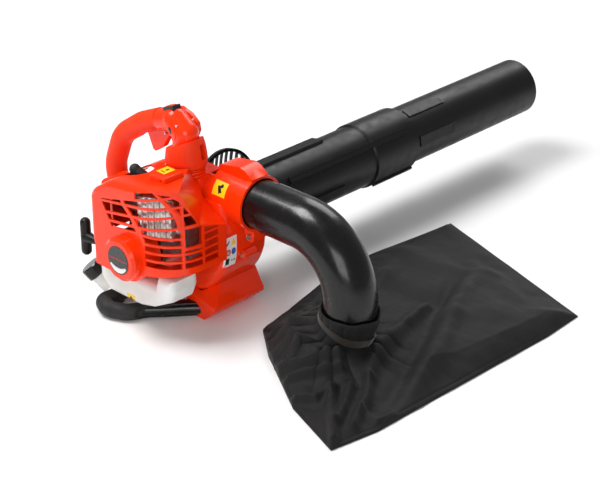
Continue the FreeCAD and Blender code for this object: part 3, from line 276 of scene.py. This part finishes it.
ORANGE = (0.98, 0.036, 0.001)
SOFT_ORANGE = (0.92, 0.040, 0.003)
LOOKS = {
    "orange_gloss": moulded("orange_gloss", ORANGE, 0.22, 0.0009, 0.00001, 0.08, 0.12, 0.32),
    "orange_soft": moulded("orange_soft", SOFT_ORANGE, 0.55, 0.0007, 0.00006, 0.1, 0, 0.25),
    "black_gloss": moulded("black_gloss", (0.004, 0.004, 0.0044), 0.25, 0.0008, 0.00001, 0.4, 0.1, 0.4),
    "black_tube": moulded("black_tube", (0.006, 0.006, 0.0064), 0.4, 0.0008, 0.00006, 0.4, 0, 0.3),
    "black_soft": moulded("black_soft", (0.014, 0.014, 0.014), 0.62, 0.0009, 0.00012, 0.4),
    "bag_cloth": woven("bag_cloth", (0.0050, 0.0050, 0.0054), sheen=0.04),
    "tank_white": milky("tank_white"),
    "badge": moulded("badge", (0.03, 0.03, 0.033), 0.3),
    "switch_red": moulded("switch_red", (0.75, 0.03, 0.01), 0.3),
    "switch_black": moulded("switch_black", (0.012, 0.012, 0.012), 0.4),
    "cast_alloy": metal("cast_alloy", (0.42, 0.41, 0.40), 0.5, stain=(0.12, 0.11, 0.1)),
    "steel": metal("steel", (0.62, 0.61, 0.60), 0.3, (1, 0.06, 1)),
    "muffler_plate": metal("muffler_plate", (0.72, 0.70, 0.68), 0.28, (1, 1, 0.05), (0.45, 0.38, 0.32)),
    "filter_foam": moulded("filter_foam", (0.03, 0.03, 0.03), 0.9, 0.002, 0.0004),
    "rope_cord": woven("rope_cord", (0.02, 0.02, 0.02), 0.0012, 0.3, 0.8),
    "sticker_yellow": printed("sticker_yellow", (0.95, 0.62, 0.01)),
    "sticker_white": printed("sticker_white", (0.82, 0.82, 0.80)),
    "sticker_blue": printed("sticker_blue", (0.03, 0.10, 0.45)),
    "sticker_black": printed("sticker_black", (0.01, 0.01, 0.01), 0.4),
    "sticker_red": printed("sticker_red", (0.65, 0.02, 0.01)),
    "strap_web": woven("strap_web", (0.016, 0.012, 0.009), 0.0016, 0.3, 0.7),
}
SLOT_OF = {row["node"]: row.get("material_slot", row["node"]) for row in frame["record"]["subparts"]}


def dress(piece, slot):
    """Gives a piece the look of one of the record's slots."""
    piece.data.materials.clear()
    piece.data.materials.append(LOOKS[slot])


for node_name, node_object in NODES.items():
    dress(node_object, SLOT_OF[node_name])


# ---------------------------------------------------------------- mesh helpers
def new_piece(name, mesh, body, slot, replaced=(), look=None):
    """Links a mesh as a piece that rides on a body, if one is named; look is its slot's unless given."""
    piece = bpy.data.objects.new(name, mesh)
    bpy.context.scene.collection.objects.link(piece)
    dress(piece, look or slot)
    if body:
        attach(piece, body)
    if replaced:
        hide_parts(*replaced)
    return piece


def smooth(mesh, angle):
    """Smooth shading, with edges sharper than an angle kept crisp."""
    mesh.shade_smooth()
    bm = bmesh.new()
    bm.from_mesh(mesh)
    limit = math.radians(angle)
    for edge in bm.edges:
        edge.smooth = len(edge.link_faces) != 2 or edge.calc_face_angle(0) < limit
    bm.to_mesh(mesh)
    bm.free()


def loft(name, rings):
    """A closed mesh through rings of points, capped at both ends; rings have the same number of points."""
    count = len(rings[0])
    points = [point for ring in rings for point in ring]
    faces = []
    for row in range(len(rings) - 1):
        for column in range(count):
            after = (column + 1) % count
            faces.append((row * count + column, row * count + after,
                          (row + 1) * count + after, (row + 1) * count + column))
    faces.append(tuple(reversed(range(count))))
    faces.append(tuple(range((len(rings) - 1) * count, len(rings) * count)))
    mesh = bpy.data.meshes.new(name)
    mesh.from_pydata(points, [], faces)
    bm = bmesh.new()
    bm.from_mesh(mesh)
    bmesh.ops.recalc_face_normals(bm, faces=bm.faces)
    bm.to_mesh(mesh)
    bm.free()
    mesh.update()
    return mesh


# Edges sharper than SHARP_ANGLE are rounded, faces within FLAT_ANGLE are one face, in degrees, and
# vertices within SAME_POINT of each other are one vertex.
SHARP_ANGLE, FLAT_ANGLE, SAME_POINT = 38, 0.6, 3e-6


def soften(node, width):
    """Replaces a CAD node by its own form with every sharp edge rounded, as moulded parts have."""
    mesh = NODES[node].data.copy()
    bm = bmesh.new()
    bm.from_mesh(mesh)
    bmesh.ops.remove_doubles(bm, verts=bm.verts, dist=SAME_POINT)
    bmesh.ops.dissolve_limit(bm, angle_limit=math.radians(FLAT_ANGLE), verts=bm.verts, edges=bm.edges)
    bm.to_mesh(mesh)
    bm.free()
    body = next(name for name, nodes in frame["record"]["behaviour"]["bodies"].items() if node in nodes)
    piece = new_piece(node + "_skin", mesh, body, SLOT_OF[node], (node,))
    bevel = piece.modifiers.new("edge", "BEVEL")
    bevel.width, bevel.segments = width * MM, 2
    bevel.limit_method, bevel.angle_limit = "ANGLE", math.radians(SHARP_ANGLE)
    bevel.harden_normals = True
    smooth(mesh, SHARP_ANGLE)


# ---------------------------------------------------------------- elbow and bag
# Radius of the elbow's bend, where the bend starts, and the duct's axis.
ELBOW_BEND, ELBOW_FROM, DUCT_Y, DUCT_Z = 110, 236, 205, 81
# Height of the floor, the bag's outline on it, the foot of its neck, and the radius of that foot.
BAG_FLOOR = -150
BAG_OUTLINE = [(518, 83), (501, -7), (374, 38), (228, 127), (161, 181), (114, 380), (103, 527), (129, 733),
               (525, 607), (530, 512)]
BAG_HEART = Vector((298, 205))
THROAT_RADIUS = 66
# Lowest height of the upper cloth, height of the under cloth and of the hem, and the hem's inset.
LEAST_HEIGHT, CLOTH_GAP, HEM_HEIGHT, EDGE_INSET = 1.8, 0.4, 2.2, 1.5
BAG_STEPS, BAG_ROWS = 560, 130
# The gathered neck: angle round the elbow, radius and depth of the pleats. It starts inside its mouth,
# turns over at 97 degrees and runs down outside.
NECK = [(112, 46.4, 0), (104, 46.6, 0.2), (98, 48.2, 0.6), (97, 49.4, 0.8), (97.6, 50.3, 0.9),
        (100, 50.0, 1.2), (104, 49.2, 1.8), (108, 48.0, 1.6), (112, 47.4, 1.4), (116, 47.6, 1.8),
        (120, 48.6, 3.0), (124, 50.5, 4.6)]


def elbow_frame(turn):
    """Centre and outward direction of the elbow at an angle round its bend, in millimetres."""
    angle = math.radians(turn)
    outward = Vector((math.sin(angle), 0, math.cos(angle)))
    centre = Vector((ELBOW_FROM, DUCT_Y, DUCT_Z - ELBOW_BEND)) + outward * ELBOW_BEND
    return centre, outward


def around_elbow(turn, phi, radius):
    """A point on a circle round the elbow."""
    centre, outward = elbow_frame(turn)
    return centre + outward * (radius * math.cos(phi)) + Vector((0, radius * math.sin(phi), 0))


def reach_to_outline(phi):
    """Distance from the bag's heart to its edge in one direction."""
    ray = Vector((math.cos(phi), math.sin(phi)))
    best = 1000.0
    for start, end in zip(BAG_OUTLINE, BAG_OUTLINE[1:] + BAG_OUTLINE[:1]):
        start, end = Vector(start) - BAG_HEART, Vector(end) - BAG_HEART
        side = end - start
        across = ray.x * side.y - ray.y * side.x
        if abs(across) < 1e-9:
            continue
        along = (start.x * side.y - start.y * side.x) / across
        share = (start.x * ray.y - start.y * ray.x) / across
        if along > 0 and -1e-6 <= share <= 1 + 1e-6:
            best = min(best, along)
    return best


def near_line(place, line):
    """Distance from a point to a polyline, and which side of it the point is on."""
    best, side_of = 1e9, 1
    for start, end in zip(line, line[1:]):
        start, end = Vector(start), Vector(end)
        side = end - start
        share = max(0.0, min(1.0, (place - start).dot(side) / side.length_squared))
        gap = (place - start - side * share).length
        if gap < best:
            best = gap
            side_of = 1 if side.x * (place.y - start.y) - side.y * (place.x - start.x) > 0 else -1
    return best, side_of


# Folds of the bag: a line across it, how far it rises, and its width, in millimetres.
BAG_FOLDS = [
    ([(328, 423), (348, 338), (381, 252), (415, 172)], 9, 13),
    ([(199, 439), (269, 441), (327, 453)], -6, 20),
    ([(287, 615), (340, 600), (430, 560)], 3, 18),
    ([(275, 93), (324, 112), (362, 158)], 9, 8),
    ([(316, 76), (351, 110), (378, 146)], 9, 7),
    ([(362, 49), (393, 70), (398, 110)], 9, 7),
    ([(240, 174), (262, 150), (290, 140)], 9, 8),
    ([(205, 165), (246, 160), (262, 170)], 7, 7),
    ([(404, 98), (450, 47), (500, 0)], 10, 8),
    ([(417, 129), (445, 84), (467, 46)], 9, 8),
    ([(426, 165), (456, 122), (488, 57)], 8, 9),
    ([(472, 95), (508, 98), (515, 130)], 6, 9),
    ([(200, 230), (180, 300), (150, 380)], 5, 14),
    ([(240, 275), (215, 350), (190, 470)], 5, 16),
    ([(150, 560), (260, 560), (330, 600)], 4, 22),
]
# The long step across the bag, where its side panel folds under.
BAND = [(292, 600), (359, 440), (421, 325), (478, 205), (510, 110)]


def bag_height(place, edge_gap, heart_gap):
    """Height of the bag's upper cloth above the floor, in millimetres."""
    height = 2.5 + 13 * (1 - math.exp(-edge_gap / 45))
    height += 38 * math.exp(-((heart_gap / 34) ** 1.4))
    gap, side = near_line(place, BAND)
    signed = gap * side
    step = 1 / (1 + math.exp(-signed / 7))
    fade = min(1.0, edge_gap / 60) * min(1.0, max(0.0, (620 - place.y) / 120))
    crest = math.exp(-((signed - 16) / 20) ** 2)
    valley = math.exp(-((signed + 16) / 14) ** 2)
    height += (17 * step + 11 * crest - 5 * valley) * fade
    for line, rise, width in BAG_FOLDS:
        gap = near_line(place, line)[0]
        if gap < 3 * width:
            height += 1.6 * rise * math.exp(-(gap / width) ** 2) * min(1.0, edge_gap / 14)
    spot = Vector((place.x, place.y, 0))
    slow = noise.noise(spot / 95) * 7 + noise.noise(spot / 38 + Vector((5, 2, 0))) * 2.8
    quick = noise.noise(Vector((place.x / 26, place.y / 14, 4))) * 1.1
    height += (slow + quick) * min(1.0, edge_gap / 40)
    return max(height, LEAST_HEIGHT)


def heading(phi):
    """The flat unit vector at an angle."""
    return Vector((math.cos(phi), math.sin(phi)))


def ripple(phi, waves, level):
    """Slow noise that closes on itself round the bag's heart."""
    return noise.noise(Vector((math.cos(phi) * waves, math.sin(phi) * waves, level)))


def pleat(phi, depth):
    """How far a gathered pleat stands out at an angle."""
    return depth * abs(math.sin(8.5 * phi + 3 * ripple(phi, 1.5, 7))) ** 0.7


def bag_point(phi, reach, share):
    """A point of the upper cloth, from the throat at share 0 to the edge at share 1."""
    radius = THROAT_RADIUS + (reach - THROAT_RADIUS) * share
    radius -= (EDGE_INSET + 1.5 * ripple(phi, 6, 0)) * share
    place = BAG_HEART + heading(phi) * radius
    height = bag_height(place, reach - radius, radius - THROAT_RADIUS)
    seam = reach - radius - 9
    height -= 0.9 * math.exp(-(seam / 1.6) ** 2)
    if share > 0.999:
        height = HEM_HEIGHT
    near = math.exp(-(radius - THROAT_RADIUS) / 60)
    height += near * (pleat(phi, 9) - 3)
    return Vector((place.x, place.y, BAG_FLOOR + max(height, LEAST_HEIGHT)))


def slope_point(start, end, share):
    """A point between the neck's last ring and the throat, easing down to the floor."""
    ease = share * share * (3 - 2 * share)
    point = start.lerp(end, share)
    point.z = start.z + (end.z - start.z) * (0.35 * share + 0.65 * ease)
    point.z = max(point.z, BAG_FLOOR + 3)
    return point


def bag_piece():
    """The bag: one cloth shell from its gathered neck, down over the floor, round the hem and under."""
    corner_turns = [math.atan2(y - BAG_HEART.y, x - BAG_HEART.x) % (2 * math.pi) for x, y in BAG_OUTLINE]
    turns = [2 * math.pi * number / BAG_STEPS for number in range(BAG_STEPS)]
    for corner in corner_turns:
        turns[min(range(BAG_STEPS), key=lambda n: abs(turns[n] - corner))] = corner
    spokes = [(turn, reach_to_outline(turn)) for turn in turns]

    rings = []
    for turn, radius, depth in NECK:
        rings.append([around_elbow(turn + 2.5 * ripple(phi, 1.3, 2), phi, radius + pleat(phi, depth))
                      for phi in turns])
    throat = [bag_point(phi, reach, 0.0) for phi, reach in spokes]
    neck_end = rings[-1]
    for share in (0.2, 0.4, 0.6, 0.8):
        rings.append([slope_point(start, end, share) for start, end in zip(neck_end, throat)])
    rings.append(throat)
    for row in range(1, BAG_ROWS + 1):
        share = (row / BAG_ROWS) ** 1.15
        rings.append([bag_point(phi, reach, share) for phi, reach in spokes])
    for inset, height in ((0.0, 1.2), (1.5, CLOTH_GAP), (12, CLOTH_GAP), (60, CLOTH_GAP)):
        ring = []
        for phi, reach in spokes:
            place = BAG_HEART + heading(phi) * max(reach - EDGE_INSET - inset, 20)
            ring.append(Vector((place.x, place.y, BAG_FLOOR + height)))
        rings.append(ring)
    rings.append([Vector((BAG_HEART.x + 8 * math.cos(phi), BAG_HEART.y + 8 * math.sin(phi),
                          BAG_FLOOR + CLOTH_GAP)) for phi in turns])
    mesh = loft("bag_cloth_shell", [[at(*point) for point in ring] for ring in rings])
    mesh.shade_smooth()
    new_piece("bag_cloth_shell", mesh, "elbow", "bag_cloth", ("bag",))


def strap_piece():
    """The webbing strap drawn round the bag's neck, with its loose end."""
    rings = []
    count, overlap, wide, thick = 96, 14, 5.5, 0.7
    tilt = math.degrees(wide / ELBOW_BEND)
    for number in range(count + overlap):
        phi = 2 * math.pi * number / count + 0.4
        loose = max(0, number - count)
        turn = 112 + 3.2 * math.sin(phi + 0.6) + loose * 0.5
        radius = 50.6 + 0.7 * math.sin(5 * phi) + loose * 0.35 + (1.4 if number > count - 6 else 0)
        under = radius - 2 * thick
        ring = [(turn - tilt, radius), (turn, radius + 0.25), (turn + tilt, radius),
                (turn + tilt, under), (turn, under), (turn - tilt, under)]
        rings.append([at(*around_elbow(angle, phi, out)) for angle, out in ring])
    mesh = loft("neck_strap_band", rings)
    smooth(mesh, 50)
    new_piece("neck_strap_band", mesh, "elbow", "bag_cloth", ("bag_strap",), "strap_web")


# ---------------------------------------------------------------- stickers and small raised marks
def round_outline(middle_u, middle_v, radius_u, radius_v, count=24):
    """A closed oval in a sticker's own square, which runs from 0 to 1 both ways."""
    turns = [2 * math.pi * number / count for number in range(count)]
    return [(middle_u + radius_u * math.cos(t), middle_v + radius_v * math.sin(t)) for t in turns]


def divided(start, end, parts):
    """Evenly spaced pairs from start up to, but without, end."""
    shares = [part / parts for part in range(parts)]
    return [(start[0] + (end[0] - start[0]) * share, start[1] + (end[1] - start[1]) * share)
            for share in shares]


def dense(outline, parts=8):
    """The same outline with each side divided, so that it can follow a curved face."""
    return [point for start, end in zip(outline, outline[1:] + outline[:1])
            for point in divided(start, end, parts)]


FULL = dense([(0, 0), (1, 0), (1, 1), (0, 1)])
TREES = {}
# A patch is dropped on its face from this far in front of it, over this distance.
LOOK_BACK, LOOK_REACH = 0.03, 0.08


def sticker(name, node, corners, toward, outline, look, lift=0.25, slot="badge"):
    """A thin printed patch laid on a node's face: corners in millimetres, seen along toward."""
    if node not in TREES:
        mesh = NODES[node].data
        TREES[node] = BVHTree.FromPolygons([vertex.co.copy() for vertex in mesh.vertices],
                                           [tuple(face.vertices) for face in mesh.polygons])
    toward = Vector(toward).normalized()
    spots = [at(*corner) for corner in corners]
    middle = Vector((sum(u for u, v in outline), sum(v for u, v in outline))) / len(outline)

    def laid(share, height):
        ring = []
        for place in outline:
            u, v = middle.lerp(Vector(place), share)
            point = spots[0].lerp(spots[1], u).lerp(spots[3].lerp(spots[2], u), v)
            found, normal = TREES[node].ray_cast(point - toward * LOOK_BACK, toward, LOOK_REACH)[:2]
            if found is None:
                found, normal = TREES[node].find_nearest(point)[:2]
            if normal.dot(toward) > 0:
                normal = -normal
            ring.append(found + normal * height * MM)
        return ring

    rings = [laid(1, -0.1), laid(1, lift)] + [laid(share, lift) for share in (0.8, 0.6, 0.4, 0.2, 0.02)]
    mesh = loft(name, rings)
    smooth(mesh, 50)
    new_piece(name, mesh, "machine", slot, look=look)


def mark_group(prefix, node, corners, toward, marks, lift=0.4):
    """Several small generic shapes printed on one sticker."""
    for number, (outline, look) in enumerate(marks, start=1):
        sticker(f"{prefix}_mark_{number}", node, corners, toward, outline, look, lift)


def bow(turns, radius_v, middle_v):
    """Part of an oval in a sticker's own square, through angles in degrees."""
    return [(0.5 + 0.47 * math.cos(math.radians(turn)), middle_v + radius_v * math.sin(math.radians(turn)))
            for turn in turns]


# Stickers: name, node, corners, direction in which they are seen, ground look, and the marks printed on
# them, each an outline and a look.
STICKERS = [
    ("sticker_duct", "fan_housing_inner", [(66, 168, 118), (96, 168, 118), (96, 162, 90), (66, 162, 90)],
     (0, 1, -0.8), "sticker_yellow",
     [(round_outline(0.62, 0.3, 0.1, 0.14), "sticker_black"),
      (dense([(0.3, 0.35), (0.5, 0.3), (0.72, 0.72), (0.5, 0.85)], 3), "sticker_black")]),
    ("sticker_cover", "engine_cover", [(25, 71, 154), (45, 71, 154), (45, 96, 154), (25, 96, 154)],
     (0, 0, -1), "sticker_yellow",
     [(dense([(0.4, 0.5), (0.65, 0.5), (0.6, 0.8), (0.45, 0.8)], 3), "sticker_black"),
      (dense([(0.25, 0.2), (0.75, 0.2), (0.75, 0.3), (0.25, 0.3)], 3), "sticker_black")]),
    ("sticker_wall", "fan_housing_inner", [(106, 153, -38), (106, 180, -38), (106, 180, 20), (106, 153, 20)],
     (-1, 0, 0), "sticker_white",
     [(dense([(0.52, 0.72), (0.92, 0.72), (0.72, 0.94)], 4), "sticker_yellow"),
      (round_outline(0.72, 0.5, 0.19, 0.11), "sticker_blue"),
      (round_outline(0.27, 0.5, 0.19, 0.11), "sticker_red"),
      (round_outline(0.27, 0.5, 0.12, 0.07), "sticker_white"),
      (dense([(0.1, 0.08), (0.38, 0.08), (0.38, 0.3), (0.1, 0.3)], 3), "sticker_black"),
      (round_outline(0.62, 0.2, 0.05, 0.03), "sticker_black"),
      (round_outline(0.82, 0.2, 0.06, 0.035), "sticker_black"),
      (dense([(0.1, 0.7), (0.36, 0.84), (0.36, 0.9), (0.1, 0.78)], 3), "sticker_black")]),
    ("sticker_tank", "fuel_tank", [(-24, 34, -98), (-4, 34, -98), (-4, 34, -85), (-24, 34, -85)],
     (0, 1, 0), "sticker_yellow",
     [(dense([(0.2, 0.2), (0.8, 0.2), (0.5, 0.8)], 4), "sticker_black")]),
]
BADGE_CORNERS = [(-25, -2, -25), (25, -2, -25), (25, -2, 25), (-25, -2, 25)]
BADGE_MARKS = [
    (bow(range(-150, -29, 10), 0.47, 0.5) + bow(range(-40, -141, -10), 0.30, 0.52), "sticker_white"),
    (dense([(0.06, 0.52), (0.94, 0.52), (0.94, 0.545), (0.06, 0.545)], 4), "sticker_red")]


def stickers():
    """Plain coloured patches with simple shapes where the machine carries its notices."""
    for name, node, corners, toward, ground, marks in STICKERS:
        sticker(name, node, corners, toward, FULL, ground)
        mark_group(name, node, corners, toward, marks)
    mark_group("badge_face", "badge_disc", BADGE_CORNERS, (0, 1, 0), BADGE_MARKS, 0.3)


# Beads in millimetres and degrees.
BEAD_HALF_WIDTH, BEAD_SUNK = 0.9, 0.4
CHANNEL_RADIUS, CHANNEL_HALF_ANGLE = 65.0, 4.6
PAD_RADIUS, PAD_HALF_ANGLE = 58.5, 8.5


def tube_point(angle, y, radius):
    """A point on a circle round the suction tube."""
    turn = math.radians(angle)
    return at(radius * math.cos(turn), y, radius * math.sin(turn))


def tube_bead(name, body, corners, radius, tall):
    """A fine raised bead on a tube, through corners given as (angle, y)."""
    spots = [point for start, end in zip(corners, corners[1:]) for point in divided(start, end, 12)]
    spots.append(corners[-1])
    rings = []
    for index, (angle, y) in enumerate(spots):
        ahead = spots[min(index + 1, len(spots) - 1)]
        behind = spots[max(index - 1, 0)]
        along = Vector((math.radians(ahead[0] - behind[0]) * radius, ahead[1] - behind[1])).normalized()
        side = Vector((-along.y, along.x)) * BEAD_HALF_WIDTH
        swing = math.degrees(side.x / radius)
        rings.append([tube_point(angle - swing, y - side.y, radius - BEAD_SUNK),
                      tube_point(angle - swing * 0.6, y - side.y * 0.6, radius + tall),
                      tube_point(angle + swing * 0.6, y + side.y * 0.6, radius + tall),
                      tube_point(angle + swing, y + side.y, radius - BEAD_SUNK)])
    mesh = loft(name, rings)
    smooth(mesh, 40)
    new_piece(name, mesh, body, "black_tube")


def tube_details():
    """The beads that edge the channels along the upper tube and the lower tube's bayonet pads."""
    for number, base in enumerate((40, 220), start=1):
        for side, angle in (("a", base - CHANNEL_HALF_ANGLE), ("b", base + CHANNEL_HALF_ANGLE)):
            tube_bead(f"channel_bead_{number}{side}", "upper_tube", [(angle, 369), (angle, 681)],
                      CHANNEL_RADIUS, 0.7)
    for number, angle in enumerate((8, 72, 200), start=1):
        left, right = angle - PAD_HALF_ANGLE, angle + PAD_HALF_ANGLE
        corners = [(left, 722), (left, 817), (right, 817), (right, 722)]
        tube_bead(f"pad_bead_{number}", "lower_tube", corners, PAD_RADIUS, 0.8)


def handle_recess():
    """The shallow oval on the near side of the handle's head, with its slot shown as a flat black patch of painted
    shade, not a cut.
    """
    spots = [(-14, 128, 176), (12, 128, 176), (4, 128, 212), (-22, 128, 212)]
    sticker("head_recess_rim", "handle_shell_near", spots, (0, 1, 0), round_outline(0.5, 0.5, 0.45, 0.48),
            "orange_gloss", 0.9, "orange_gloss")
    # Painted shade: the slot is not cut, and a black patch stands in for the shade in its depth.
    sticker("head_recess_slot_painted_shade", "handle_shell_near", spots, (0, 1, 0), round_outline(0.5, 0.56, 0.13, 0.17),
            "sticker_black", 1.1, "orange_gloss")


def starter_cord():
    """The laid rope between the guide and the pull grip: three strands, twisted."""
    start, end, radius, pitch = -137.4, 0.0, 1.55, 11.0
    steps, sides = 420, 24
    axis_y, axis_z = 53, -26.2
    rings = []
    for step in range(steps + 1):
        x = start + (end - start) * step / steps
        twist = 2 * math.pi * x / pitch
        ring = []
        for side in range(sides):
            phi = 2 * math.pi * side / sides
            reach = radius * (1 + 0.12 * abs(math.cos(1.5 * (phi - twist))))
            ring.append(at(x, axis_y + reach * math.cos(phi), axis_z + reach * math.sin(phi)))
        rings.append(ring)
    mesh = loft("starter_cord", rings)
    mesh.shade_smooth()
    piece = new_piece("starter_cord", mesh, None, "rope_cord", ("starter_rope",))
    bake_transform(piece)


# Width of the rounded edges of the moulded nodes, in millimetres.
SOFT_EDGES = {
    "engine_cover": 1.1, "fan_housing_inner": 1.2, "fan_housing_outer": 1.2, "foot_shoe": 2.0,
    "handle_collar": 1.2, "starter_housing": 1.6, "fuel_cap": 0.9, "aux_handle_frame": 1.2,
    "suction_tube_upper": 1.0, "suction_tube_lower": 0.8, "elbow_tube": 0.7, "throttle_trigger": 1.0,
    "cruise_lever": 1.2, "air_filter_cover": 1.0, "intake_guard": 0.5, "starter_grip": 0.6,
}

bag_piece()
strap_piece()
stickers()
handle_recess()
tube_details()
starter_cord()
for node, width in SOFT_EDGES.items():
    soften(node, width)
set_stage()
